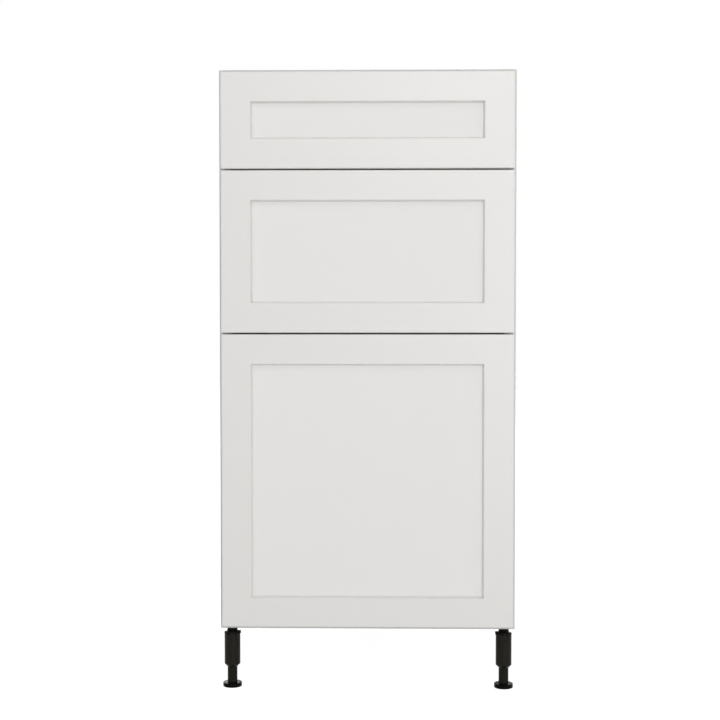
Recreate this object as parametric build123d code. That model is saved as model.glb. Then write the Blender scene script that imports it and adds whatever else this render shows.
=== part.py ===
from build123d import *
import os

# A narrow kitchen base cabinet with three drawers on four adjustable legs.
# Millimetres. X runs to the viewer's right, Y to the back, Z up. The floor is
# z = 0, and the origin is on it, midway between the sides, front and back.

# ------------------------------------------------------------ driving sizes

# Carcass boards
carcass_width = 400.0
carcass_depth = 560.0
board = 16.0                # sides, bottom and top rails
top_rail_depth = 100.0
back_thickness = 3.0
back_inset = 12.0           # rear edge of the sides to the back panel
back_groove_depth = 7.5

# Drawer fronts, one routed board each
lower_front_height = 395.0
middle_front_height = 217.0
upper_front_height = 129.0
front_gap = 2.0             # between one front and the next
top_reveal = 5.0            # upper front to the top of the carcass
bottom_reveal = 6.0         # lower front to the bottom of the carcass
side_reveal = 4.0           # front edge to the outer face of the carcass
front_thickness = 19.0
front_edge_radius = 1.5
frame_width = 39.6          # raised border round the recess
recess_depth = 6.0
recess_slope = 2.2          # how far the recess wall leans in
closing_gap = 2.0           # back of a shut front to the carcass
bumper_height = 1.8
bumper_diameter = 8.0
bumper_drop = 15.0          # below the top edge of its front
bumper_inset = 10.0         # from the outer face of the carcass

# Legs
leg_height = 86.0           # floor to the carcass as it stands in the picture
leg_from_end = 24.0         # leg axis to the carcass's front or rear edge
leg_from_side = 12.9        # leg axis to the carcass's outer face
column_diameter = 21.8
column_length = 48.4
column_taper = 4.0          # height of the cone at the column's lower end
column_lip = 0.3            # flat ring round the stem, at the cone's small end
stem_diameter = 13.5
stem_engagement = 20.0      # stem inside the column at rest
foot_diameter = 25.8
foot_height = 5.7
foot_retract = 18.0         # how far the foot can screw in from rest
notch_width = 5.8
notch_height = 2.6
notch_depth = 2.6
notch_count = 8
ear_width = 2.6
ear_reach = 0.8             # beyond the column
ear_rise = 1.2              # above the column
ear_length = 4.0
dimple_diameter = 2.4
dimple_offset = 1.2
dimple_drop = 9.5

# Leg sockets
socket_plate = 2.4
socket_front = 10.5         # plate, from the leg axis towards the carcass's near end
socket_back = 27.5          # and away from it
socket_reach = 42.0         # and towards the middle
socket_corner = 4.0
socket_screw_near = 16.0    # screws, from the leg axis towards the middle
socket_screw_far = 36.0
socket_screw_front = 2.0    # screws, from the leg axis away from the near end
socket_screw_back = 21.5
neck_diameter = 14.0
neck_length = 7.5           # between the plate and the column
spigot_diameter = 10.0      # part of the neck inside the column
spigot_length = 7.0

# Drawer boxes
lower_box_height = 260.0
middle_box_height = 150.0
upper_box_height = 80.0
box_board = 12.0
box_rise = 24.0             # bottom edge of the front to that of the box
box_bottom_thickness = 5.0
box_groove_rise = 14.0
box_groove_depth = 6.0

# Telescopic runners, in three rails each
runner_thickness = 12.7
runner_setback = 3.0        # behind the carcass's front edge
runner_rear_space = 42.0    # behind the runner, before the back panel
runner_rise = 40.0          # axis above the bottom edge of the box
rail_sheet = 1.2
rail_bend = 0.4             # inner radius of a rail's bends
cabinet_rail_height = 45.0
cabinet_rail_lip = 10.0
centre_rail_height = 35.0
centre_rail_offset = 3.0    # its web, from the side panel
centre_rail_lip = 7.8
drawer_rail_height = 24.0
drawer_rail_lip = 6.7
ball_strip_width = 4.0
ball_play = 0.3             # ball strip to its track

# Board joints: cam lock, bolt and dowel
cam_diameter = 14.8
cam_setback = 34.0          # cam axis from the end of its board
cam_from_end = 70.0         # cam axis from the front or rear edge, bottom panel
dowel_from_end = 110.0
rail_cam_from_edge = 30.0
rail_dowel_from_edge = 70.0
bolt_diameter = 6.0
bolt_thread_diameter = 5.0
bolt_bore_diameter = 8.0
dowel_diameter = 8.0
dowel_in_edge = 18.0
skin = 3.0                  # board left beyond a blind hole

# Screws
panel_screw_diameter = 3.5
panel_screw_head = 7.0
panel_screw_head_height = 2.2
runner_screw_diameter = 5.0
runner_screw_head_height = 1.5
runner_screw_first = 37.0   # from the carcass's front edge
runner_screw_pitch = 208.0
runner_screw_count = 3
rail_screw_first = 40.0     # from the drawer rail's front end
rail_screw_pitch = 205.0
corner_screw_length = 38.0
corner_screw_drop = 8.0     # below the top edge of the box
corner_screw_rise = 5.0     # above the box bottom
front_screw_inset = 45.0    # from the inside of the box, sideways
front_screw_edge = 20.0     # from the box front's top and bottom edges
front_screw_diameter = 4.0
back_screw_spacing = 90.0
bottom_screw_spacing = 160.0
recess_across = 3.6         # cross recess in a screw's head
recess_arm = 0.9
recess_sink = 1.4
recess_turn = 37.0          # degrees from one screw's recess to the next
worktop_hole_diameter = 5.0
worktop_hole_spacing = 240.0

# Clearances
groove_play = 0.2
end_play = 0.5
hole_play = 0.05            # round a pin, bolt or screw, on the radius
clearance_play = 0.4        # round a screw in its clearance hole

# ------------------------------------------------------------ worked-out places

side_x = carcass_width / 2
inner_x = side_x - board
overall_depth = front_thickness + closing_gap + carcass_depth
front_face = -overall_depth / 2
front_back = front_face + front_thickness
carcass_front = front_back + closing_gap
carcass_rear = carcass_front + carcass_depth
back_rear = carcass_rear - back_inset
back_front = back_rear - back_thickness

lower_front_bottom = leg_height + bottom_reveal
middle_front_bottom = lower_front_bottom + lower_front_height + front_gap
upper_front_bottom = middle_front_bottom + middle_front_height + front_gap
carcass_bottom = leg_height
carcass_top = upper_front_bottom + upper_front_height + top_reveal

runner_front = carcass_front + runner_setback
runner_rear = back_front - runner_rear_space
box_x = inner_x - runner_thickness

leg_x = side_x - leg_from_side
leg_front_y = carcass_front + leg_from_end
leg_rear_y = carcass_rear - leg_from_end
column_top = leg_height - socket_plate - neck_length
column_bottom = column_top - column_length
blind_depth = board - skin

drawer_sizes = {
    "lower": (lower_front_bottom, lower_front_height, lower_box_height),
    "middle": (middle_front_bottom, middle_front_height, middle_box_height),
    "upper": (upper_front_bottom, upper_front_height, upper_box_height),
}

left, right = -1, 1
side_names = {left: "left", right: "right"}

bottom_joint_z = carcass_bottom + board / 2
top_joint_z = carcass_top - board / 2
rear_rail_front = back_front - top_rail_depth
front_rail_rear = carcass_front + top_rail_depth

bottom_cam_places = [carcass_front + cam_from_end, carcass_rear - cam_from_end]
bottom_dowel_places = [carcass_front + dowel_from_end, carcass_rear - dowel_from_end]
front_rail_cam_y = carcass_front + rail_cam_from_edge
rear_rail_cam_y = back_front - rail_cam_from_edge
front_rail_dowel_y = carcass_front + rail_dowel_from_edge
rear_rail_dowel_y = back_front - rail_dowel_from_edge

cam_places = [(y, bottom_joint_z) for y in bottom_cam_places]
cam_places += [(front_rail_cam_y, top_joint_z), (rear_rail_cam_y, top_joint_z)]
dowel_places = [(y, bottom_joint_z) for y in bottom_dowel_places]
dowel_places += [(front_rail_dowel_y, top_joint_z), (rear_rail_dowel_y, top_joint_z)]

runner_screw_places = [
    carcass_front + runner_screw_first + step * runner_screw_pitch
    for step in range(runner_screw_count)
]
rail_screw_places = [
    runner_front + rail_screw_first + step * rail_screw_pitch
    for step in range(runner_screw_count)
]


# ------------------------------------------------------------ basic shapes

def block(x_from, x_to, y_from, y_to, z_from, z_to):
    """A box between six planes."""
    centre = ((x_from + x_to) / 2, (y_from + y_to) / 2, (z_from + z_to) / 2)
    return Pos(*centre) * Box(abs(x_to - x_from), abs(y_to - y_from), abs(z_to - z_from))


def place(shape, point, direction):
    """Move a shape built along +Z so that it starts at a point and runs along a direction."""
    return Plane(origin=point, z_dir=direction) * shape


def rod(point, direction, diameter, length):
    """A cylinder that starts at a point."""
    upright = Cylinder(diameter / 2, length, align=(Align.CENTER, Align.CENTER, Align.MIN))
    return place(upright, point, direction)


def spin(points):
    """A solid of revolution about Z, from (radius, height) points."""
    return revolve(make_face(Plane.XZ * Polyline(*points, close=True)), axis=Axis.Z)


def cross_recess(z):
    """The two slots of a screwdriver's cross, sunk upwards from a height."""
    reach = recess_across / 2
    arm = recess_arm / 2
    along = block(-reach, reach, -arm, arm, z, z + recess_sink)
    across = block(-arm, arm, -reach, reach, z, z + recess_sink)
    return along + across


def pan_screw(diameter, head, head_height, length):
    """A screw with a flat-sided head below z = 0 and its shank above."""
    shank = diameter / 2
    rim = head / 2
    screw = spin([
        (0, -head_height),
        (rim * 0.7, -head_height),
        (rim, -head_height * 0.5),
        (rim, 0),
        (shank, 0),
        (shank, length - diameter / 2),
        (0, length),
    ])
    return screw - cross_recess(-head_height)


def flat_screw(diameter, length):
    """A countersunk screw whose head is flush with z = 0."""
    shank = diameter / 2
    screw = spin([
        (0, 0),
        (diameter, 0),
        (shank, shank),
        (shank, length - shank),
        (0, length),
    ])
    return screw - cross_recess(0)


def drive(screws, screw, point, direction):
    """Add a screw to a list, stopped at an angle of its own."""
    turned = Rot(0, 0, recess_turn * len(screws)) * screw
    screws.append(place(turned, point, direction))


def flat_screw_hole(diameter, length):
    """The hole that a countersunk screw needs."""
    shank = diameter / 2 + hole_play
    return spin([
        (0, 0),
        (diameter + hole_play, 0),
        (shank, shank),
        (shank, length + end_play),
        (0, length + end_play),
    ])


def mirrored(shape):
    """The same piece on the other side of the cabinet."""
    return mirror(shape, about=Plane.YZ)


# ------------------------------------------------------------ carcass

def side_panel():
    """The right side: a groove for the back, and holes for bolts, dowels and runners."""
    panel = block(inner_x, side_x, carcass_front, carcass_rear, carcass_bottom, carcass_top)
    panel -= block(
        inner_x, inner_x + back_groove_depth,
        back_front - groove_play, back_rear + groove_play,
        carcass_bottom, carcass_top,
    )
    for y, z in cam_places:
        panel -= rod((inner_x, y, z), (1, 0, 0), bolt_thread_diameter + 2 * hole_play, blind_depth)
    for y, z in dowel_places:
        panel -= rod((inner_x, y, z), (1, 0, 0), dowel_diameter + 2 * hole_play, blind_depth)
    for front_bottom, _, _ in drawer_sizes.values():
        z = front_bottom + box_rise + runner_rise
        for y in runner_screw_places:
            hole = runner_screw_diameter + 2 * hole_play
            panel -= rod((inner_x, y, z), (1, 0, 0), hole, blind_depth)
    return panel


def joint_bores(cam_y_places, dowel_y_places, z, face_z):
    """Cam, bolt and dowel holes in both ends of a board whose underside is at face_z."""
    bores = []
    for side in (left, right):
        inwards = (-side, 0, 0)
        for y in cam_y_places:
            cam_x = side * (inner_x - cam_setback)
            cam_hole = cam_diameter + 4 * hole_play
            bores.append(rod((cam_x, y, face_z), (0, 0, 1), cam_hole, blind_depth))
            bores.append(rod((side * inner_x, y, z), inwards, bolt_bore_diameter, cam_setback))
        for y in dowel_y_places:
            hole = dowel_diameter + 2 * hole_play
            bores.append(rod((side * inner_x, y, z), inwards, hole, dowel_in_edge + end_play))
    return bores


def bottom_panel():
    """The cabinet's floor, between the sides."""
    panel = block(
        -inner_x, inner_x, carcass_front, carcass_rear, carcass_bottom, carcass_bottom + board
    )
    panel -= block(
        -inner_x, inner_x,
        back_front - groove_play, back_rear + groove_play,
        carcass_bottom + board - back_groove_depth, carcass_bottom + board,
    )
    panel -= joint_bores(bottom_cam_places, bottom_dowel_places, bottom_joint_z, carcass_bottom)
    for x, y in socket_screw_places():
        pilot = panel_screw_diameter + 2 * hole_play
        panel -= rod((x, y, carcass_bottom), (0, 0, 1), pilot, blind_depth)
    return panel


def back_panel():
    """A thin sheet in the grooves of the sides and the bottom."""
    return block(
        -inner_x - back_groove_depth + end_play, inner_x + back_groove_depth - end_play,
        back_front, back_rear,
        carcass_bottom + board - back_groove_depth + end_play, carcass_top,
    )


def top_rail(y_from, y_to, cam_y, dowel_y):
    """A flat cross board under the worktop, with two holes for worktop screws."""
    rail = block(-inner_x, inner_x, y_from, y_to, carcass_top - board, carcass_top)
    rail -= joint_bores([cam_y], [dowel_y], top_joint_z, carcass_top - board)
    for side in (left, right):
        start = (side * worktop_hole_spacing / 2, (y_from + y_to) / 2, carcass_top - board)
        rail -= rod(start, (0, 0, 1), worktop_hole_diameter, board)
    return rail


def top_rail_back():
    """The rear rail, with pilot holes for the screws through the back panel."""
    rail = top_rail(rear_rail_front, back_front, rear_rail_cam_y, rear_rail_dowel_y)
    for x in back_screw_places():
        pilot = panel_screw_diameter + 2 * hole_play
        rail -= rod((x, back_front, top_joint_z), (0, -1, 0), pilot, blind_depth)
    return rail


def cam_locks():
    """A slotted cam for each bolt, let into the underside of its board."""
    cams = []
    height = blind_depth - end_play
    for side in (left, right):
        x = side * (inner_x - cam_setback)
        for y, z in cam_places:
            foot = z - board / 2
            cam = rod((x, y, foot), (0, 0, 1), cam_diameter, height)
            mouth = (x - side * bolt_bore_diameter / 2, y, z)
            cam -= rod(mouth, (side, 0, 0), bolt_bore_diameter, cam_diameter)
            slot = cam_diameter / 2
            width = cam_diameter / 10
            cam -= block(x - slot / 2, x + slot / 2, y - width / 2, y + width / 2, foot, foot + width)
            cam -= block(x - width / 2, x + width / 2, y - slot / 2, y + slot / 2, foot, foot + width)
            cams.append(cam)
    return cams


def cam_bolts():
    """Bolts screwed into the sides, with a head in each cam."""
    bolts = []
    thread_length = blind_depth - end_play
    head_diameter = bolt_bore_diameter * 0.9
    head_length = bolt_bore_diameter / 2
    for side in (left, right):
        for y, z in cam_places:
            start = (side * inner_x, y, z)
            bolt = rod(start, (side, 0, 0), bolt_thread_diameter, thread_length)
            bolt += rod(start, (-side, 0, 0), bolt_diameter, cam_setback - head_length)
            head_x = side * (inner_x - cam_setback + head_length)
            bolt += rod((head_x, y, z), (-side, 0, 0), head_diameter, head_length)
            bolts.append(bolt)
    return bolts


def carcass_dowels():
    """Beech dowels beside the cams."""
    dowels = []
    length = blind_depth + dowel_in_edge - end_play
    for side in (left, right):
        for y, z in dowel_places:
            start = (side * (inner_x + blind_depth - end_play), y, z)
            dowel = rod(start, (-side, 0, 0), dowel_diameter, length)
            dowels.append(chamfer(dowel.edges(), dowel_diameter / 10))
    return dowels


def back_screw_places():
    """Where the back panel is screwed to the rear rail."""
    return [(step - 1.5) * back_screw_spacing for step in range(4)]


def back_panel_sheet():
    """The back panel with its screw holes."""
    sheet = back_panel()
    for x in back_screw_places():
        hole = panel_screw_diameter + 2 * clearance_play
        sheet -= rod((x, back_rear, top_joint_z), (0, -1, 0), hole, back_thickness)
    return sheet


def carcass_screws():
    """Screws in the back panel, the leg sockets and the runners' cabinet rails."""
    screws = []
    back_length = back_thickness + blind_depth - end_play
    back_screw = pan_screw(
        panel_screw_diameter, panel_screw_head, panel_screw_head_height, back_length
    )
    for x in back_screw_places():
        drive(screws, back_screw, (x, back_rear, top_joint_z), (0, -1, 0))
    socket_length = socket_plate + blind_depth - end_play
    socket_screw = pan_screw(
        panel_screw_diameter, panel_screw_head, panel_screw_head_height, socket_length
    )
    for x, y in socket_screw_places():
        drive(screws, socket_screw, (x, y, carcass_bottom - socket_plate), (0, 0, 1))
    runner_length = rail_sheet + blind_depth - end_play
    runner_screw = pan_screw(
        runner_screw_diameter, panel_screw_head, runner_screw_head_height, runner_length
    )
    for front_bottom, _, _ in drawer_sizes.values():
        z = front_bottom + box_rise + runner_rise
        for side in (left, right):
            for y in runner_screw_places:
                start = (side * (inner_x - rail_sheet), y, z)
                drive(screws, runner_screw, start, (side, 0, 0))
    return screws


def front_bumpers():
    """Soft dots on the sides' front edges, where the shut fronts land."""
    bumpers = []
    for front_bottom, front_height, _ in drawer_sizes.values():
        z = front_bottom + front_height - bumper_drop
        for side in (left, right):
            start = (side * (side_x - bumper_inset), carcass_front, z)
            bumper = rod(start, (0, -1, 0), bumper_diameter, bumper_height)
            rim = bumper.edges().sort_by(Axis.Y)[0]
            bumpers.append(fillet(rim, bumper_height / 2))
    return bumpers


# ------------------------------------------------------------ legs

def leg_places():
    """Name, side and end of each leg."""
    places = []
    for end_name, y, end in (("front", leg_front_y, -1), ("rear", leg_rear_y, 1)):
        for side in (left, right):
            places.append((end_name + "_" + side_names[side], side * leg_x, y, side, end))
    return places


def stand(shape, x, y, side, end):
    """Place a leg piece that was built at the front left, mirrored for its corner."""
    if side == right:
        shape = mirror(shape, about=Plane.YZ)
    if end == 1:
        shape = mirror(shape, about=Plane.XZ)
    return Pos(x, y, 0) * shape


def socket_screw_offsets():
    """Screw places of one socket, from the leg axis: towards the middle, then along Y."""
    return [
        (inwards, along)
        for inwards in (socket_screw_near, socket_screw_far)
        for along in (socket_screw_front, socket_screw_back)
    ]


def socket_screw_places():
    """The screw places of all four sockets."""
    return [
        (x - side * inwards, y - end * along)
        for _, x, y, side, end in leg_places()
        for inwards, along in socket_screw_offsets()
    ]


def leg_socket():
    """A plate under the carcass, with a neck below it and a spigot that the column takes."""
    plate = block(
        -leg_from_side + end_play, socket_reach,
        -socket_front, socket_back,
        leg_height - socket_plate, leg_height,
    )
    plate = fillet(plate.edges().filter_by(Axis.Z), socket_corner)
    neck = neck_diameter / 2
    spigot = spigot_diameter / 2
    edge = 0.5
    spigot_bottom = column_top - spigot_length
    socket = plate + spin([
        (0, spigot_bottom),
        (spigot - edge, spigot_bottom),
        (spigot, spigot_bottom + edge),
        (spigot, column_top),
        (neck, column_top),
        (neck, leg_height),
        (0, leg_height),
    ])
    for inwards, along in socket_screw_offsets():
        hole = panel_screw_diameter + 2 * clearance_play
        start = (inwards, along, leg_height - socket_plate)
        socket -= rod(start, (0, 0, 1), hole, socket_plate)
    return socket


def leg_column():
    """A round column with notches and an ear round its top, and a bore at each end."""
    outer = column_diameter / 2
    mouth = stem_diameter / 2 + hole_play + column_lip
    edge = 0.4
    column = spin([
        (0, column_bottom),
        (mouth, column_bottom),
        (outer, column_bottom + column_taper),
        (outer, column_top - edge),
        (outer - edge, column_top),
        (0, column_top),
    ])
    stem_bore = stem_engagement + foot_retract + end_play
    column -= rod((0, 0, column_bottom), (0, 0, 1), stem_diameter + 2 * hole_play, stem_bore)
    spigot_bore = spigot_length + end_play
    column -= rod((0, 0, column_top), (0, 0, -1), spigot_diameter + 2 * hole_play, spigot_bore)
    notch = block(
        outer - notch_depth, outer + notch_depth,
        -notch_width / 2, notch_width / 2,
        column_top - notch_height, column_top + notch_height,
    )
    for step in range(notch_count):
        column -= Rot(0, 0, (step + 0.5) * 360 / notch_count) * notch
    column += block(
        outer + ear_reach - ear_length, outer + ear_reach,
        -ear_width / 2, ear_width / 2,
        column_top - notch_height, column_top + ear_rise,
    )
    dimple = (-dimple_offset, -outer - dimple_diameter / 4, column_top - dimple_drop)
    column -= rod(dimple, (0, 1, 0), dimple_diameter, dimple_diameter)
    return column


def foot():
    """A round foot on a stem that screws into the column."""
    rim = foot_diameter / 2
    stem = stem_diameter / 2
    edge = 0.5
    stem_top = column_bottom + stem_engagement
    return spin([
        (0, 0),
        (rim - edge, 0),
        (rim, edge),
        (rim, foot_height - edge),
        (rim - edge, foot_height),
        (stem, foot_height),
        (stem, stem_top - edge),
        (stem - edge, stem_top),
        (0, stem_top),
    ])


# ------------------------------------------------------------ runners

def channel(web_x, lip_x, height, z, sheet):
    """A C-shaped rail along Y: its web at web_x, and its lips reaching to lip_x."""
    step = sheet if lip_x > web_x else -sheet
    half = height / 2
    rail = block(web_x, web_x + step, runner_front, runner_rear, z - half, z + half)
    rail += block(web_x, lip_x, runner_front, runner_rear, z + half - sheet, z + half)
    rail += block(web_x, lip_x, runner_front, runner_rear, z - half, z - half + sheet)
    inner, outer = (1, 0) if step > 0 else (-2, -1)
    rail = fillet(rail.edges().filter_by(Axis.Y).group_by(Axis.X)[inner], rail_bend)
    return fillet(rail.edges().filter_by(Axis.Y).group_by(Axis.X)[outer], rail_bend + sheet)


def cabinet_rail(z):
    """The left rail that is screwed to the side panel."""
    web_x = -inner_x
    rail = channel(web_x, web_x + cabinet_rail_lip, cabinet_rail_height, z, rail_sheet)
    for y in runner_screw_places:
        hole = runner_screw_diameter + 2 * clearance_play
        rail -= rod((web_x, y, z), (1, 0, 0), hole, rail_sheet)
    return rail


def ball_strips(z):
    """Ball tracks on the left centre rail: outside on its rear half, inside on its front half."""
    x_from = -inner_x + centre_rail_offset + rail_sheet + end_play
    runner_middle = (runner_front + runner_rear) / 2
    outside_low = centre_rail_height / 2
    outside_high = cabinet_rail_height / 2 - rail_sheet - ball_play
    inside_low = drawer_rail_height / 2 + ball_play
    inside_high = centre_rail_height / 2 - rail_sheet
    strip_end = -inner_x + centre_rail_offset + centre_rail_lip
    strips = []
    for updown in (-1, 1):
        strips.append(block(
            x_from, x_from + ball_strip_width, runner_middle, runner_rear,
            z + updown * outside_low, z + updown * outside_high,
        ))
        strips.append(block(
            strip_end - ball_strip_width, strip_end, runner_front, runner_middle,
            z + updown * inside_low, z + updown * inside_high,
        ))
    return strips


def centre_rail(z):
    """The left rail that runs in the cabinet rail and carries the drawer rail."""
    web_x = -inner_x + centre_rail_offset
    rail = channel(web_x, web_x + centre_rail_lip, centre_rail_height, z, rail_sheet)
    return [rail] + ball_strips(z)


def drawer_rail(z):
    """The left rail that is screwed to the drawer box."""
    web_x = -box_x
    rail = channel(web_x, web_x - drawer_rail_lip, drawer_rail_height, z, rail_sheet)
    for y in rail_screw_places:
        hole = panel_screw_diameter + 2 * clearance_play
        rail -= rod((web_x, y, z), (-1, 0, 0), hole, rail_sheet)
    return rail


# ------------------------------------------------------------ drawers

def front_screw_places(front_bottom, box_height):
    """Where the box front is screwed to the drawer front."""
    box_bottom = front_bottom + box_rise
    x = box_x - box_board - front_screw_inset
    low = box_bottom + box_groove_rise + box_bottom_thickness + front_screw_edge
    high = box_bottom + box_height - front_screw_edge
    return [(side * x, z) for side in (left, right) for z in (low, high)]


def front_screw_hold():
    """How deep a front screw goes into the drawer front, short of the recess."""
    return front_thickness - recess_depth - skin


def drawer_front(front_bottom, front_height, box_height):
    """One board with a routed recess inside a flat border."""
    half_width = side_x - side_reveal
    front_top = front_bottom + front_height
    front = block(-half_width, half_width, front_face, front_back, front_bottom, front_top)
    front = fillet(front.faces().sort_by(Axis.Y)[0].edges(), front_edge_radius)
    recess_width = 2 * (half_width - frame_width)
    recess_height = front_height - 2 * frame_width
    middle = Plane(
        origin=(0, front_face, front_bottom + front_height / 2), x_dir=(1, 0, 0), z_dir=(0, 1, 0)
    )
    mouth = middle * Rectangle(recess_width, recess_height)
    floor = middle.offset(recess_depth) * Rectangle(
        recess_width - 2 * recess_slope, recess_height - 2 * recess_slope
    )
    front -= loft([mouth, floor])
    for x, z in front_screw_places(front_bottom, box_height):
        pilot = front_screw_diameter + 2 * hole_play
        front -= rod((x, front_back, z), (0, -1, 0), pilot, front_screw_hold())
    return front


def corner_screw_places(front_bottom, box_height):
    """Heights of the screws in each corner of the box."""
    box_bottom = front_bottom + box_rise
    low = box_bottom + box_groove_rise + box_bottom_thickness + corner_screw_rise
    return [low, box_bottom + box_height - corner_screw_drop]


def corner_screw_rows():
    """The middle of the box front and of the box back, along Y."""
    return [front_back + box_board / 2, runner_rear - box_board / 2]


def corner_holes(front_bottom, box_height, side):
    """Countersunk holes from the outer face of one box side into the front and back."""
    hole = flat_screw_hole(panel_screw_diameter, corner_screw_length)
    return [
        place(hole, (side * box_x, y, z), (-side, 0, 0))
        for y in corner_screw_rows()
        for z in corner_screw_places(front_bottom, box_height)
    ]


def bottom_groove(front_bottom):
    """Lower and upper edge of the groove that holds the box bottom."""
    low = front_bottom + box_rise + box_groove_rise
    return low, low + box_bottom_thickness + groove_play


def box_side(front_bottom, box_height):
    """The left side of a drawer box."""
    box_bottom = front_bottom + box_rise
    inside = -box_x + box_board
    side = block(-box_x, inside, front_back, runner_rear, box_bottom, box_bottom + box_height)
    low, high = bottom_groove(front_bottom)
    side -= block(
        inside - box_groove_depth, inside,
        front_back + box_board - box_groove_depth, runner_rear, low, high,
    )
    side -= corner_holes(front_bottom, box_height, left)
    for y in rail_screw_places:
        pilot = panel_screw_diameter + 2 * hole_play
        start = (-box_x, y, box_bottom + runner_rise)
        side -= rod(start, (1, 0, 0), pilot, box_board - skin)
    return side


def box_front(front_bottom, box_height):
    """The board behind the drawer front, with the groove and the screw holes."""
    box_bottom = front_bottom + box_rise
    half_width = box_x - box_board
    rear = front_back + box_board
    panel = block(-half_width, half_width, front_back, rear, box_bottom, box_bottom + box_height)
    low, high = bottom_groove(front_bottom)
    panel -= block(-half_width, half_width, rear - box_groove_depth, rear, low, high)
    for side in (left, right):
        panel -= corner_holes(front_bottom, box_height, side)
    for x, z in front_screw_places(front_bottom, box_height):
        hole = front_screw_diameter + 2 * clearance_play
        panel -= rod((x, rear, z), (0, -1, 0), hole, box_board)
    return panel


def box_back(front_bottom, box_height):
    """The rear board of a drawer box, standing on the box bottom."""
    half_width = box_x - box_board
    low = bottom_groove(front_bottom)[1]
    top = front_bottom + box_rise + box_height
    panel = block(-half_width, half_width, runner_rear - box_board, runner_rear, low, top)
    for side in (left, right):
        panel -= corner_holes(front_bottom, box_height, side)
    for x in (-bottom_screw_spacing / 2, bottom_screw_spacing / 2):
        pilot = panel_screw_diameter + 2 * hole_play
        panel -= rod((x, runner_rear - box_board / 2, low), (0, 0, 1), pilot, box_board)
    return panel


def box_bottom_sheet(front_bottom):
    """The sheet in the grooves of a drawer box."""
    half_width = box_x - box_board + box_groove_depth - end_play
    front_edge = front_back + box_board - box_groove_depth + end_play
    low, high = bottom_groove(front_bottom)
    sheet = block(-half_width, half_width, front_edge, runner_rear, low + groove_play, high)
    for x in (-bottom_screw_spacing / 2, bottom_screw_spacing / 2):
        hole = panel_screw_diameter + 2 * clearance_play
        sheet -= rod((x, runner_rear - box_board / 2, low), (0, 0, 1), hole, high - low)
    return sheet


def drawer_screws(front_bottom, box_height):
    """All the screws that move with one drawer."""
    screws = []
    corner_screw = flat_screw(panel_screw_diameter, corner_screw_length)
    for side in (left, right):
        for y in corner_screw_rows():
            for z in corner_screw_places(front_bottom, box_height):
                drive(screws, corner_screw, (side * box_x, y, z), (-side, 0, 0))
    front_screw = pan_screw(
        front_screw_diameter, 2 * front_screw_diameter, panel_screw_head_height,
        box_board + front_screw_hold() - end_play,
    )
    for x, z in front_screw_places(front_bottom, box_height):
        drive(screws, front_screw, (x, front_back + box_board, z), (0, -1, 0))
    rail_screw = pan_screw(
        panel_screw_diameter, panel_screw_head, runner_screw_head_height,
        rail_sheet + box_board - skin - end_play,
    )
    z = front_bottom + box_rise + runner_rise
    for side in (left, right):
        for y in rail_screw_places:
            start = (side * (box_x + rail_sheet), y, z)
            drive(screws, rail_screw, start, (-side, 0, 0))
    bottom_screw = pan_screw(
        panel_screw_diameter, panel_screw_head, panel_screw_head_height,
        box_bottom_thickness + box_board - end_play,
    )
    low = bottom_groove(front_bottom)[0] + groove_play
    for x in (-bottom_screw_spacing / 2, bottom_screw_spacing / 2):
        drive(screws, bottom_screw, (x, runner_rear - box_board / 2, low), (0, 0, 1))
    return screws


# ------------------------------------------------------------ assembly

def carcass_nodes():
    """The boards, their fixings and the bumpers."""
    side = side_panel()
    return {
        "side_panel_left": mirrored(side),
        "side_panel_right": side,
        "bottom_panel": bottom_panel(),
        "back_panel": back_panel_sheet(),
        "top_rail_front": top_rail(
            carcass_front, front_rail_rear, front_rail_cam_y, front_rail_dowel_y
        ),
        "top_rail_back": top_rail_back(),
        "cam_locks": cam_locks(),
        "cam_bolts": cam_bolts(),
        "carcass_dowels": carcass_dowels(),
        "carcass_screws": carcass_screws(),
        "front_bumpers": front_bumpers(),
    }


def leg_nodes():
    """The four sockets in one node, and a column and a foot for each leg."""
    nodes = {"leg_sockets": [stand(leg_socket(), *where) for _, *where in leg_places()]}
    for name, *where in leg_places():
        nodes["leg_column_" + name] = stand(leg_column(), *where)
        nodes["leg_foot_" + name] = stand(foot(), *where)
    return nodes


def runner_nodes(drawer, front_bottom):
    """The three rails of the left and right runner of one drawer."""
    z = front_bottom + box_rise + runner_rise
    nodes = {}
    rails = {
        "cabinet_rail": [cabinet_rail(z)],
        "centre_rail": centre_rail(z),
        "drawer_rail": [drawer_rail(z)],
    }
    for rail_name, solids in rails.items():
        nodes[f"{drawer}_runner_left_{rail_name}"] = solids
        nodes[f"{drawer}_runner_right_{rail_name}"] = [mirrored(solid) for solid in solids]
    return nodes


def drawer_nodes(drawer, front_bottom, front_height, box_height):
    """One drawer: its front, box and screws."""
    side = box_side(front_bottom, box_height)
    return {
        f"{drawer}_drawer_front": drawer_front(front_bottom, front_height, box_height),
        f"{drawer}_drawer_box_front": box_front(front_bottom, box_height),
        f"{drawer}_drawer_box_left": side,
        f"{drawer}_drawer_box_right": mirrored(side),
        f"{drawer}_drawer_box_back": box_back(front_bottom, box_height),
        f"{drawer}_drawer_box_bottom": box_bottom_sheet(front_bottom),
        f"{drawer}_drawer_screws": drawer_screws(front_bottom, box_height),
    }


def write_node(name, shape):
    """Write one node, which is one solid or a list of separate solids."""
    solids = shape if isinstance(shape, list) else [shape]
    if len(solids) == 1:
        export_step(solids[0], f"parts/{name}.step")
    else:
        export_step(Compound(children=solids), f"parts/{name}.step")


def main():
    os.makedirs("parts", exist_ok=True)
    nodes = carcass_nodes()
    nodes.update(leg_nodes())
    for drawer, (front_bottom, front_height, box_height) in drawer_sizes.items():
        nodes.update(runner_nodes(drawer, front_bottom))
        nodes.update(drawer_nodes(drawer, front_bottom, front_height, box_height))
    for name, shape in nodes.items():
        write_node(name, shape)


main()
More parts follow.
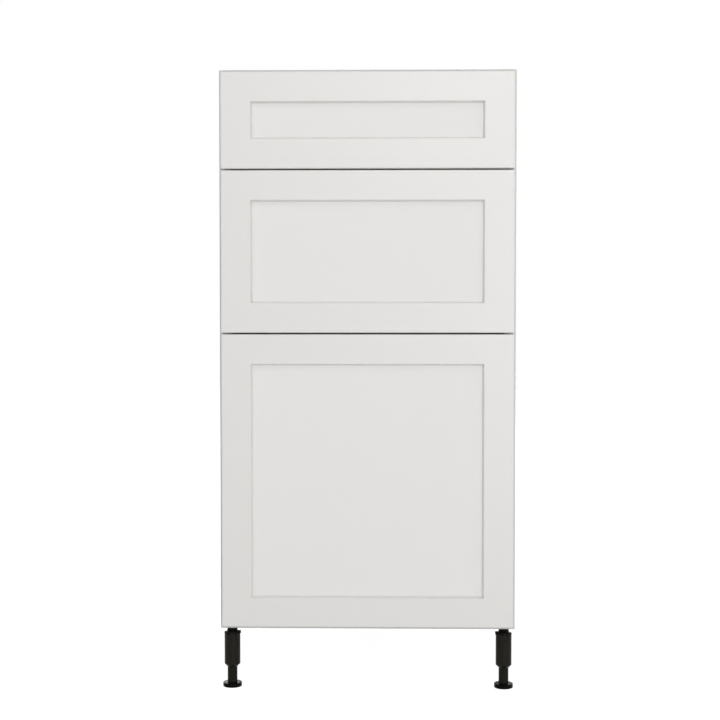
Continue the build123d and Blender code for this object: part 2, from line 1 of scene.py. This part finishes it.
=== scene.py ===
"""Looks of the narrow drawer cabinet: finishes, small fittings, floor, light and camera. Metres, +Z up."""

import math

import bmesh
import bpy
from mathutils import Matrix, Vector


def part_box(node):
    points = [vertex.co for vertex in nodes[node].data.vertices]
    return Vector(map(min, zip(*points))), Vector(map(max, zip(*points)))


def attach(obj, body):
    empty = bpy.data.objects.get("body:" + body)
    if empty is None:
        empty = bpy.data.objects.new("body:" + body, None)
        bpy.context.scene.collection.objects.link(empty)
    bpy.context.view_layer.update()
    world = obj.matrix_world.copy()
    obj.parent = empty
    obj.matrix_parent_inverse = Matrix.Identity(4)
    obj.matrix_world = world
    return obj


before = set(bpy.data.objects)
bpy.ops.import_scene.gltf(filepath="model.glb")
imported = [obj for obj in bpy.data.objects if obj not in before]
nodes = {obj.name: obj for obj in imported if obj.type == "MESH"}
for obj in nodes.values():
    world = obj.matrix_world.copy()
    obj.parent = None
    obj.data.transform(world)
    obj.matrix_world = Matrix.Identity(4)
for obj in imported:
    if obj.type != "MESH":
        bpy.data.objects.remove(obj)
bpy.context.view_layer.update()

DRAWERS = ("lower", "middle", "upper")
SIDES = (("left", -1.0), ("right", 1.0))
LEGS = ("front_left", "front_right", "rear_left", "rear_right")
FRONT_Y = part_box("middle_drawer_front")[0].y


# ------------------------------------------------------------ node trees

EVEN = (1.0, 1.0, 1.0)
NOISE_LOW = 0.3             # where most of a noise lies
NOISE_HIGH = 0.7
SQUARE_ON = 0.7             # a face looks along an axis if more than this share of its normal does
EDGE_SAMPLES = 6


class Tree:
    """A material's node tree, built with short calls."""

    def __init__(self, name):
        self.material = bpy.data.materials.new(name)
        self.material.use_nodes = True
        self.nodes = self.material.node_tree.nodes
        self.links = self.material.node_tree.links
        self.nodes.clear()
        self.output = self.nodes.new("ShaderNodeOutputMaterial")

    def add(self, kind, settings=None, **inputs):
        """A node of a kind. Inputs are values or other nodes' output sockets, by socket name."""
        node = self.nodes.new("ShaderNode" + kind)
        for key, value in (settings or {}).items():
            setattr(node, key, value)
        for key, value in inputs.items():
            self.feed(node.inputs[key.replace("_", " ")], value)
        return node

    def feed(self, socket, value):
        """Set a socket to a value, or link an output to it."""
        if isinstance(value, bpy.types.NodeSocket):
            self.links.new(value, socket)
        elif socket.type == "RGBA" and len(value) == 3:
            socket.default_value = (*value, 1.0)
        else:
            socket.default_value = value

    def place(self, scale=EVEN):
        """Object coordinates in metres, stretched along each axis."""
        coords = self.add("TexCoord").outputs["Object"]
        return self.add("Mapping", {"vector_type": "POINT"}, Vector=coords, Scale=scale).outputs[0]

    def noise(self, size, detail=2.0, rough=0.5, stretch=EVEN):
        """Noise whose blotches are about size metres across."""
        place = self.place(tuple(share / size for share in stretch))
        return self.add("TexNoise", Vector=place, Scale=1.0, Detail=detail, Roughness=rough).outputs["Fac"]

    def cells(self, size):
        """Voronoi cells about size metres across: their random colour, and the distance to their middle."""
        place = self.place((1.0 / size,) * 3)
        cell = self.add("TexVoronoi", Vector=place, Scale=1.0, Randomness=1.0)
        return cell.outputs["Color"], cell.outputs["Distance"]

    def math(self, operation, a, b=0.0):
        """One Math node."""
        node = self.add("Math", {"operation": operation})
        self.feed(node.inputs[0], a)
        self.feed(node.inputs[1], b)
        return node.outputs[0]

    def remap(self, value, low, high, to_low, to_high):
        """Carry a value from one range to another, clamped."""
        return self.add(
            "MapRange", {"clamp": True},
            Value=value, From_Min=low, From_Max=high, To_Min=to_low, To_Max=to_high,
        ).outputs[0]

    def spread(self, noise, low, high):
        """Carry the middle of a noise's range to the range from low to high."""
        return self.remap(noise, NOISE_LOW, NOISE_HIGH, low, high)

    def choose(self, share, a, b):
        """Number a where share is 0, number b where it is 1."""
        return self.remap(share, 0.0, 1.0, a, b)

    def blend(self, share, a, b):
        """Colour a where share is 0, colour b where it is 1."""
        node = self.add("Mix", {"data_type": "RGBA"})
        self.feed(node.inputs[0], share)
        self.feed(node.inputs[6], a)
        self.feed(node.inputs[7], b)
        return node.outputs[2]

    def merge(self, share, a, b):
        """Height a where share is 0, height b where it is 1."""
        node = self.add("Mix", {"data_type": "FLOAT"})
        self.feed(node.inputs[0], share)
        self.feed(node.inputs[2], a)
        self.feed(node.inputs[3], b)
        return node.outputs[0]

    def drift(self, colour, size, darkest, detail=2.0):
        """A colour that drifts, over so many metres, down to a share of itself."""
        return self.blend(self.noise(size, detail), colour, tuple(part * darkest for part in colour))

    def ramp(self, value, *stops):
        """Colours along a value, as (place, colour) stops."""
        node = self.add("ValToRGB")
        self.feed(node.inputs[0], value)
        elements = node.color_ramp.elements
        while len(elements) < len(stops):
            elements.new(0.5)
        for element, (place, colour) in zip(elements, stops):
            element.position = place
            element.color = (*colour, 1.0)
        return node.outputs[0]

    def along(self, axis):
        """The place along one axis, in metres."""
        return self.add("SeparateXYZ", Vector=self.place()).outputs[axis]

    def facing(self, axis, sign):
        """1 on faces that look along one axis, to its positive or negative side, or to both if sign is 0."""
        normal = self.add("NewGeometry").outputs["True Normal"]
        part = self.add("SeparateXYZ", Vector=normal).outputs[axis]
        if sign == 0:
            part = self.math("ABSOLUTE", part)
        elif sign < 0:
            part = self.math("MULTIPLY", part, -1.0)
        return self.math("GREATER_THAN", part, SQUARE_ON)

    def bump(self, height, distance, edge):
        """A normal from a height of 0 to 1 that stands for so many metres, with a radius on sharp edges."""
        rounded = self.add("Bevel", {"samples": EDGE_SAMPLES}, Radius=edge).outputs[0]
        return self.add("Bump", Height=height, Distance=distance, Strength=1.0, Normal=rounded).outputs[0]

    def finish(self, colour, roughness, normal, **more):
        """Close the tree with one Principled shader, and return the material."""
        shader = self.add("BsdfPrincipled", Base_Color=colour, Roughness=roughness, Normal=normal)
        for key, value in more.items():
            self.feed(shader.inputs[key.replace("_", " ")], value)
        self.links.new(shader.outputs[0], self.output.inputs[0])
        return self.material


# ------------------------------------------------------------ finishes

WHITE_BORDER = (0.733, 0.723, 0.706)
WHITE_PANEL = (0.780, 0.767, 0.754)
WHITE_BOARD = (0.80, 0.80, 0.79)
WHITE_FOIL = (0.81, 0.806, 0.795)
# Grey painted on the carcass's front edges: painted shade where they lie beside the fronts
FRONT_EDGE_SHADE = (0.56, 0.556, 0.545)
LEG_BLACK = ((0.0105, 0.0096, 0.0072), (0.0140, 0.0130, 0.0102))
# Deeper black of the foot's disc; on the leg sockets it is also painted shade from under the cabinet
DEEP_BLACK = ((0.0014, 0.0013, 0.0011), (0.0024, 0.0022, 0.0019))
LEVER_BLACK = ((0.012, 0.012, 0.012), (0.018, 0.018, 0.018))

RECESS_TOP = 0.00582        # depth behind the border from which a front's face is its recess
DISC_TOP = 0.0060           # height where a foot's disc ends and its stem starts

# Radius of the sharp edges
COAT_EDGE = 0.0007
BOARD_EDGE = 0.0006
STEEL_EDGE = 0.0003
MOULDED_EDGE = 0.0003

# Height of the relief
PEEL_HEIGHT = 0.000012
BOARD_HEIGHT = 0.00012
BOX_HEIGHT = 0.00008
SHEET_HEIGHT = 0.0001
RAIL_HEIGHT = 0.00001
SCREW_HEIGHT = 0.00002
CAST_HEIGHT = 0.00004
BEECH_HEIGHT = 0.00008
SPARK_HEIGHT = 0.00002
BUMPER_HEIGHT = 0.00003

# Size of the grain or pattern
PEEL_SIZE = 0.0016
DUST_SIZE = 0.012
CHIP_SIZE = 0.0026
CHIP_FIBRE_SIZE = 0.0011
PEARL_SIZE = 0.0009
FIBRE_SIZE = 0.0008
FOIL_SIZE = 0.0012
HARDBOARD_SIZE = 0.0022
HARDBOARD_BLOTCH = 0.05
STREAK_SIZE = 0.0007
ZINC_DRIFT = 0.04
SPANGLE_SIZE = 0.002
CAST_SIZE = 0.0015
BEECH_SIZE = 0.0008
FLOW_SIZE = 0.02
SPARK_SIZE = 0.0005
BUMPER_CLOUD = 0.003

ALONG_RAIL = (1.0, 0.012, 1.0)
SLOW_ALONG_RAIL = (1.0, 0.3, 1.0)
ALONG_DOWEL = (0.08, 1.0, 1.0)


def front_material():
    """Satin coat with a faint orange peel on the border, and a duller, slightly paler recess."""
    tree = Tree("satin_front_coat")
    recess = tree.math("GREATER_THAN", tree.along("Y"), FRONT_Y + RECESS_TOP)
    border = tree.drift(WHITE_BORDER, 0.35, 0.985, detail=1.0)
    panel = tree.drift(WHITE_PANEL, 0.35, 0.99, detail=1.0)
    sheen = tree.spread(tree.noise(DUST_SIZE, detail=3.0), -0.02, 0.02)
    roughness = tree.math("ADD", tree.choose(recess, 0.37, 0.75), sheen)
    peel = tree.bump(tree.noise(PEEL_SIZE, detail=1.0), PEEL_HEIGHT, COAT_EDGE)
    return tree.finish(tree.blend(recess, border, panel), roughness, peel)


def chipboard(tree):
    """Colour and height of a raw chipboard edge: pressed chips in tans and browns."""
    chip_colour, chip_middle = tree.cells(CHIP_SIZE)
    tint = tree.add("SeparateColor", Color=chip_colour).outputs[0]
    fibre = tree.noise(CHIP_FIBRE_SIZE, detail=4.0, rough=0.65)
    mixed = tree.math("ADD", tree.math("MULTIPLY", tint, 0.65), tree.math("MULTIPLY", fibre, 0.45))
    colour = tree.ramp(
        mixed,
        (0.18, (0.15, 0.085, 0.045)),
        (0.34, (0.34, 0.215, 0.12)),
        (0.60, (0.52, 0.37, 0.235)),
        (0.85, (0.66, 0.52, 0.37)),
    )
    return colour, tree.math("ADD", mixed, chip_middle)


def board_material(name, raw_axis):
    """White melamine, with grey painted on its front edges as painted shade where they lie beside the
    fronts. Its rear edge and those along raw_axis are raw chipboard.
    """
    tree = Tree(name)
    white = tree.drift(WHITE_BOARD, 0.25, 0.975)
    # Front-facing edges take the grey of painted shade
    white = tree.blend(tree.facing("Y", -1), white, FRONT_EDGE_SHADE)
    pearl = tree.math("MULTIPLY", tree.noise(PEARL_SIZE), 0.12)
    chips, chip_height = chipboard(tree)
    raw = tree.math("MAXIMUM", tree.facing(raw_axis, 0), tree.facing("Y", 1))
    relief = tree.bump(tree.merge(raw, pearl, chip_height), BOARD_HEIGHT, BOARD_EDGE)
    return tree.finish(tree.blend(raw, white, chips), tree.choose(raw, 0.42, 0.85), relief)


def box_material():
    """Foiled fibreboard of the drawer boxes, raw on its lower edges."""
    tree = Tree("foiled_box_board")
    white = tree.drift(WHITE_FOIL, 0.2, 0.975)
    grain = tree.math("MULTIPLY", tree.noise(FOIL_SIZE), 0.15)
    fibre = tree.noise(FIBRE_SIZE, detail=5.0, rough=0.7)
    brown = tree.ramp(fibre, (0.3, (0.40, 0.27, 0.165)), (0.7, (0.58, 0.43, 0.29)))
    raw = tree.facing("Z", -1)
    relief = tree.bump(tree.merge(raw, grain, fibre), BOX_HEIGHT, BOARD_EDGE)
    return tree.finish(tree.blend(raw, white, brown), tree.choose(raw, 0.40, 0.85), relief)


def hardboard_material(name, white_axis, white_sign):
    """Thin hardboard, painted white on one face and bare brown on the other, with a fine screen pattern."""
    tree = Tree(name)
    white = tree.drift(WHITE_FOIL, 0.3, 0.97)
    fibre = tree.noise(HARDBOARD_SIZE, detail=6.0, rough=0.75)
    blotch = tree.noise(HARDBOARD_BLOTCH, detail=3.0)
    brown = tree.ramp(
        tree.math("ADD", tree.math("MULTIPLY", fibre, 0.7), tree.math("MULTIPLY", blotch, 0.3)),
        (0.30, (0.155, 0.088, 0.047)),
        (0.50, (0.25, 0.15, 0.085)),
        (0.70, (0.36, 0.235, 0.14)),
    )
    painted = tree.facing(white_axis, white_sign)
    height = tree.math("MULTIPLY", fibre, tree.choose(painted, 1.0, 0.12))
    relief = tree.bump(height, SHEET_HEIGHT, STEEL_EDGE)
    return tree.finish(tree.blend(painted, brown, white), tree.choose(painted, 0.78, 0.42), relief)


def rail_material():
    """Zinc-plated rolled steel: fine streaks along the rail and a faint tint that drifts."""
    tree = Tree("zinc_rail")
    streak = tree.noise(STREAK_SIZE, detail=3.0, stretch=ALONG_RAIL)
    drift = tree.noise(ZINC_DRIFT, stretch=SLOW_ALONG_RAIL)
    colour = tree.blend(drift, (0.66, 0.68, 0.71), (0.72, 0.72, 0.70))
    colour = tree.blend(tree.remap(streak, 0.35, 0.65, 0.0, 0.35), colour, (0.50, 0.51, 0.53))
    relief = tree.bump(streak, RAIL_HEIGHT, STEEL_EDGE)
    return tree.finish(colour, tree.spread(streak, 0.24, 0.38), relief, Metallic=1.0)


def screw_material():
    """Bright zinc on small fasteners."""
    tree = Tree("zinc_screw")
    cloud = tree.noise(SPANGLE_SIZE, detail=3.0)
    colour = tree.blend(cloud, (0.60, 0.61, 0.64), (0.72, 0.71, 0.67))
    relief = tree.bump(cloud, SCREW_HEIGHT, STEEL_EDGE)
    return tree.finish(colour, tree.spread(cloud, 0.22, 0.40), relief, Metallic=1.0)


def cast_material():
    """Die-cast zinc of the cams, duller and mottled."""
    tree = Tree("cast_zinc")
    cloud = tree.noise(CAST_SIZE, detail=4.0)
    colour = tree.blend(cloud, (0.44, 0.45, 0.46), (0.62, 0.62, 0.62))
    relief = tree.bump(cloud, CAST_HEIGHT, STEEL_EDGE)
    return tree.finish(colour, tree.spread(cloud, 0.40, 0.58), relief, Metallic=1.0)


def beech_material():
    """Beech, its grain along the dowel."""
    tree = Tree("beech")
    grain = tree.noise(BEECH_SIZE, detail=4.0, stretch=ALONG_DOWEL)
    colour = tree.ramp(grain, (0.3, (0.50, 0.31, 0.17)), (0.7, (0.71, 0.50, 0.32)))
    return tree.finish(colour, 0.6, tree.bump(grain, BEECH_HEIGHT, STEEL_EDGE))


def moulding(tree, blacks, low, high):
    """Colour, roughness and normal of near-black moulded plastic: a slow flow and a fine spark grain."""
    flow = tree.noise(FLOW_SIZE)
    relief = tree.bump(tree.noise(SPARK_SIZE), SPARK_HEIGHT, MOULDED_EDGE)
    return tree.blend(flow, *blacks), tree.spread(flow, low, high), relief


def plastic_material(name, blacks, low, high, specular):
    """Near-black moulded plastic between two roughnesses."""
    tree = Tree(name)
    return tree.finish(*moulding(tree, blacks, low, high), Specular_IOR_Level=specular)


def foot_material():
    """The same plastic, blacker and smoother on the foot's disc than on its stem."""
    tree = Tree("foot_plastic_black")
    stem = tree.math("GREATER_THAN", tree.along("Z"), DISC_TOP)
    disc_colour, roughness, relief = moulding(tree, DEEP_BLACK, 0.26, 0.34)
    stem_colour = tree.blend(tree.noise(FLOW_SIZE), *LEG_BLACK)
    colour = tree.blend(stem, disc_colour, stem_colour)
    return tree.finish(colour, roughness, relief, Specular_IOR_Level=0.045)


def bumper_material():
    """Soft cloudy plastic."""
    tree = Tree("bumper_soft_clear")
    cloud = tree.noise(BUMPER_CLOUD)
    colour = tree.blend(cloud, (0.72, 0.72, 0.70), (0.80, 0.80, 0.78))
    relief = tree.bump(cloud, BUMPER_HEIGHT, MOULDED_EDGE)
    return tree.finish(colour, tree.spread(cloud, 0.30, 0.40), relief, Transmission_Weight=0.35, IOR=1.45)


# ------------------------------------------------------------ finishes on the frame

def dress(material, *names):
    """Give CAD nodes a material."""
    for name in names:
        for slot in nodes[name].material_slots:
            slot.link = "OBJECT"
            slot.material = material


def dress_frame():
    """Every CAD node gets its finish."""
    steel = rail_material()
    zinc = screw_material()
    column = plastic_material("leg_plastic_black", LEG_BLACK, 0.32, 0.40, 0.08)
    foot = foot_material()
    front = front_material()
    box = box_material()
    sheet = hardboard_material("hardboard_box_bottom", "Z", 1)
    dress(board_material("melamine_side", "Z"), "side_panel_left", "side_panel_right")
    dress(board_material("melamine_flat", "X"), "bottom_panel", "top_rail_front", "top_rail_back")
    dress(hardboard_material("hardboard_back", "Y", -1), "back_panel")
    dress(cast_material(), "cam_locks")
    dress(zinc, "cam_bolts", "carcass_screws")
    dress(beech_material(), "carcass_dowels")
    dress(bumper_material(), "front_bumpers")
    # The sockets take the deeper black, darker than the column: black plastic with painted shade for the
    # shadow under the cabinet
    dress(plastic_material("socket_plastic_black_painted_shade", DEEP_BLACK, 0.36, 0.44, 0.045), "leg_sockets")
    for leg in LEGS:
        dress(column, "leg_column_" + leg)
        dress(foot, "leg_foot_" + leg)
    for drawer in DRAWERS:
        dress(front, drawer + "_drawer_front")
        dress(box, *(f"{drawer}_drawer_box_{board}" for board in ("front", "left", "right", "back")))
        dress(sheet, drawer + "_drawer_box_bottom")
        dress(zinc, drawer + "_drawer_screws")
        for side_name, _ in SIDES:
            for rail in ("cabinet", "centre", "drawer"):
                dress(steel, f"{drawer}_runner_{side_name}_{rail}_rail")


# ------------------------------------------------------------ small fittings

LEVER_LENGTH = 0.074
LEVER_REAR = -0.034         # its rear end, along Y
LEVER_PIVOT = 0.0046        # radius of its round end
LEVER_STRAP = 0.0019        # half height of its strap
LEVER_TAB = 0.0050          # half height of its thumb tab
LEVER_TAB_REACH = 0.010     # half length of the tab
LEVER_BOW = 0.0016          # rise of the strap's middle
LEVER_THICKNESS = 0.0022
LEVER_DEPTH = 0.0022        # from the rail's web
LEVER_STEPS = 74
LEVER_ENDS = 0.004          # share of the length cut off at each end
LEVER_EDGE = 0.0003         # width of its bevels
LEVER_CREASE = math.radians(50.0)
RIVET_RADIUS = 0.0022
RIVET_HEIGHT = 0.0009
RIVET_SINK = 0.0002         # into the lever
RIVET_LIFT = 0.0002         # above the middle of the rail's height
RIVET_COLLAR = 0.35         # share of the height
RIVET_DOME = 0.86           # share of the radius
RIVET_AROUND = 28
RIVET_WELD = 0.00001


def join_rings(shape, rings):
    """Faces between each ring of points and the next."""
    for ring, after in zip(rings, rings[1:]):
        for corner, point in enumerate(ring):
            following = (corner + 1) % len(ring)
            shape.faces.new((point, ring[following], after[following], after[corner]))


def close_mesh(shape, name):
    """Turn the faces outwards, and make a mesh of the shape."""
    bmesh.ops.recalc_face_normals(shape, faces=shape.faces)
    mesh = bpy.data.meshes.new(name)
    shape.to_mesh(mesh)
    shape.free()
    return mesh


def new_piece(name, mesh, material, body):
    """Put a mesh in the scene as a named piece that rides on a body."""
    piece = bpy.data.objects.new(name, mesh)
    bpy.context.scene.collection.objects.link(piece)
    piece.data.materials.append(material)
    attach(piece, body)
    return piece


def lever_half_height(along):
    """Half the lever's height, so far from its rear end: a round pivot, a slim strap and a thumb tab."""
    pivot = LEVER_PIVOT ** 2 - (along - LEVER_PIVOT) ** 2
    tab_middle = LEVER_LENGTH - LEVER_TAB_REACH
    tab = 1.0 - ((along - tab_middle) / LEVER_TAB_REACH) ** 4
    return max(
        math.sqrt(max(pivot, 0.0)),
        LEVER_STRAP if LEVER_PIVOT < along < tab_middle else 0.0,
        LEVER_TAB * max(tab, 0.0) ** 0.25,
    )


def lever_mesh(name, side, x, z):
    """A flat moulded lever that lies in the hollow of a drawer rail, its strap bowed up a little."""
    shape = bmesh.new()
    rings = []
    for step in range(LEVER_STEPS + 1):
        along = LEVER_LENGTH * (LEVER_ENDS + (1.0 - 2.0 * LEVER_ENDS) * step / LEVER_STEPS)
        half = lever_half_height(along)
        lift = LEVER_BOW * math.sin(math.pi * along / LEVER_LENGTH)
        rings.append([
            shape.verts.new((x + side * across, LEVER_REAR - along, z + lift + updown * half))
            for across, updown in ((0.0, -1), (LEVER_THICKNESS, -1), (LEVER_THICKNESS, 1), (0.0, 1))
        ])
    join_rings(shape, rings)
    shape.faces.new(rings[0])
    shape.faces.new(rings[-1])
    return close_mesh(shape, name)


def rivet_mesh(name, centre, side):
    """A low domed rivet head with a collar, that looks to one side."""
    profile = [(1.0, 0.0), (1.0, RIVET_COLLAR)]
    for degrees in range(0, 91, 15):
        turn = math.radians(degrees)
        profile.append((RIVET_DOME * math.cos(turn), RIVET_COLLAR + (1.0 - RIVET_COLLAR) * math.sin(turn)))
    turns = [2.0 * math.pi * step / RIVET_AROUND for step in range(RIVET_AROUND)]
    shape = bmesh.new()
    rings = []
    for reach, rise in profile:
        across = RIVET_RADIUS * reach
        rings.append([
            shape.verts.new((across * math.cos(turn), across * math.sin(turn), RIVET_HEIGHT * rise))
            for turn in turns
        ])
    join_rings(shape, rings)
    shape.faces.new(rings[0])
    bmesh.ops.remove_doubles(shape, verts=shape.verts, dist=RIVET_WELD)
    sideways = Vector((0.0, 0.0, 1.0)).rotation_difference(Vector((side, 0.0, 0.0))).to_matrix().to_4x4()
    bmesh.ops.transform(shape, matrix=Matrix.Translation(Vector(centre)) @ sideways, verts=shape.verts)
    mesh = close_mesh(shape, name)
    for polygon in mesh.polygons:
        polygon.use_smooth = True
    return mesh


def add_levers():
    """The black lever in each drawer rail that lets the drawer come off its runner, and its rivet."""
    black = plastic_material("lever_plastic_black", LEVER_BLACK, 0.36, 0.46, 0.3)
    zinc = screw_material()
    for drawer in DRAWERS:
        for side_name, side in SIDES:
            low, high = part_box(f"{drawer}_runner_{side_name}_drawer_rail")
            x = (high.x if side < 0 else low.x) + side * LEVER_DEPTH
            z = (low.z + high.z) / 2.0
            name = f"{drawer}_release_lever_{side_name}"
            lever = new_piece(name, lever_mesh(name, side, x, z), black, drawer + "_drawer")
            bevel = lever.modifiers.new("bevel", "BEVEL")
            bevel.width = LEVER_EDGE
            bevel.segments = 2
            bevel.limit_method = "ANGLE"
            bevel.angle_limit = LEVER_CREASE
            centre = (x + side * (LEVER_THICKNESS - RIVET_SINK), LEVER_REAR - LEVER_PIVOT, z + RIVET_LIFT)
            name = f"{drawer}_release_rivet_{side_name}"
            new_piece(name, rivet_mesh(name, centre, side), zinc, drawer + "_drawer")


# ------------------------------------------------------------ camera, floor and light

CAMERA_SIDE = 0.0290
CAMERA_HEIGHT = 0.5198
CAMERA_DISTANCE = 1.8719
CAMERA_PITCH = math.radians(2.052)
CAMERA_TURN = math.radians(1.187)
LENS = 70.0
SENSOR = 36.0

WHITE = (1.0, 1.0, 1.0)
FLOOR_SIZE = 14.0
FLOOR_MATT = (0.8, 0.8, 0.8)
FLOOR_SHADE = (0.30, 0.30, 0.30)
# The floor's glow, and how far from the middle it starts to grow and reaches full white
FLOOR_GLOW = 0.88
FLOOR_NEAR = 0.9
FLOOR_FAR = 2.0

FRONT_MIDDLE = (0.0, FRONT_Y, 0.46)
CARCASS_MIDDLE = (0.0, 0.0, 0.5)
# Name, place, aim, width, height, watts
LAMPS = (
    ("key", (0.51, -5.0, 2.04), FRONT_MIDDLE, 1.1, 1.1, 49.5),
    ("fill", (1.31, -3.4, 0.25), FRONT_MIDDLE, 1.6, 1.0, 36.0),
    ("high_left", (-1.6, -2.2, 2.8), FRONT_MIDDLE, 1.2, 1.2, 18.5),
    ("high_right", (2.3, -1.6, 2.7), FRONT_MIDDLE, 1.2, 1.2, 11.0),
    ("left", (-3.2, 1.2, 1.3), CARCASS_MIDDLE, 1.8, 1.8, 40.0),
    ("right", (3.2, 1.2, 1.3), CARCASS_MIDDLE, 1.8, 1.8, 34.0),
    ("rear", (-0.4, 4.2, 1.9), (0.0, 0.3, 0.5), 2.0, 2.0, 35.0),
)
WORLD_LEVEL = 0.30          # grey light from all round


def make_camera():
    """The photograph's view: nearly square on, a little right of the middle and below the top."""
    data = bpy.data.cameras.new("camera")
    data.lens = LENS
    data.sensor_width = SENSOR
    data.dof.use_dof = False
    camera = bpy.data.objects.new("camera", data)
    camera.location = (CAMERA_SIDE, FRONT_Y - CAMERA_DISTANCE, CAMERA_HEIGHT)
    camera.rotation_euler = (math.pi / 2 - CAMERA_PITCH, 0.0, CAMERA_TURN)
    bpy.context.scene.collection.objects.link(camera)
    bpy.context.scene.camera = camera


def seen_ray(tree_nodes, tree_links):
    """1 for camera, glossy and transmission rays."""
    path = tree_nodes.new("ShaderNodeLightPath")
    total = path.outputs["Is Camera Ray"]
    for name in ("Is Glossy Ray", "Is Transmission Ray"):
        either = tree_nodes.new("ShaderNodeMath")
        either.operation = "MAXIMUM"
        tree_links.new(total, either.inputs[0])
        tree_links.new(path.outputs[name], either.inputs[1])
        total = either.outputs[0]
    return total


def make_floor():
    """A pale floor that looks white and keeps a faint shadow."""
    bpy.ops.mesh.primitive_plane_add(size=FLOOR_SIZE, location=(0.0, 0.0, 0.0))
    floor = bpy.context.object
    floor.name = "floor"
    tree = Tree("pale_floor")
    matt = tree.add("BsdfDiffuse", Color=FLOOR_MATT)
    reach = tree.add("VectorMath", {"operation": "LENGTH"}, Vector=tree.place()).outputs["Value"]
    level = tree.remap(reach, FLOOR_NEAR, FLOOR_FAR, FLOOR_GLOW, 1.0)
    glow = tree.add("Emission", Color=WHITE, Strength=level)
    shade = tree.add("BsdfDiffuse", Color=FLOOR_SHADE)
    white = tree.add("AddShader")
    tree.links.new(glow.outputs[0], white.inputs[0])
    tree.links.new(shade.outputs[0], white.inputs[1])
    mix = tree.add("MixShader")
    tree.links.new(seen_ray(tree.nodes, tree.links), mix.inputs[0])
    tree.links.new(matt.outputs[0], mix.inputs[1])
    tree.links.new(white.outputs[0], mix.inputs[2])
    tree.links.new(mix.outputs[0], tree.output.inputs[0])
    floor.data.materials.append(tree.material)


def make_world():
    """White where it is seen or mirrored, and a plain grey light elsewhere."""
    world = bpy.data.worlds.new("studio")
    world.use_nodes = True
    bpy.context.scene.world = world
    tree = world.node_tree
    background = tree.nodes["Background"]
    background.inputs["Color"].default_value = (*WHITE, 1.0)
    strength = tree.nodes.new("ShaderNodeMapRange")
    strength.inputs["To Min"].default_value = WORLD_LEVEL
    strength.inputs["To Max"].default_value = 1.0
    tree.links.new(seen_ray(tree.nodes, tree.links), strength.inputs["Value"])
    tree.links.new(strength.outputs[0], background.inputs["Strength"])


def softbox(name, place, aim, width, height, power):
    """A rectangular area lamp that looks at a point."""
    data = bpy.data.lights.new(name, "AREA")
    data.shape = "RECTANGLE"
    data.size = width
    data.size_y = height
    data.energy = power
    lamp = bpy.data.objects.new(name, data)
    lamp.location = place
    lamp.rotation_euler = (Vector(aim) - Vector(place)).to_track_quat("-Z", "Y").to_euler()
    bpy.context.scene.collection.objects.link(lamp)


dress_frame()
add_levers()
make_floor()
make_camera()
make_world()
for lamp_row in LAMPS:
    softbox(*lamp_row)
bpy.context.scene.view_settings.view_transform = "Standard"
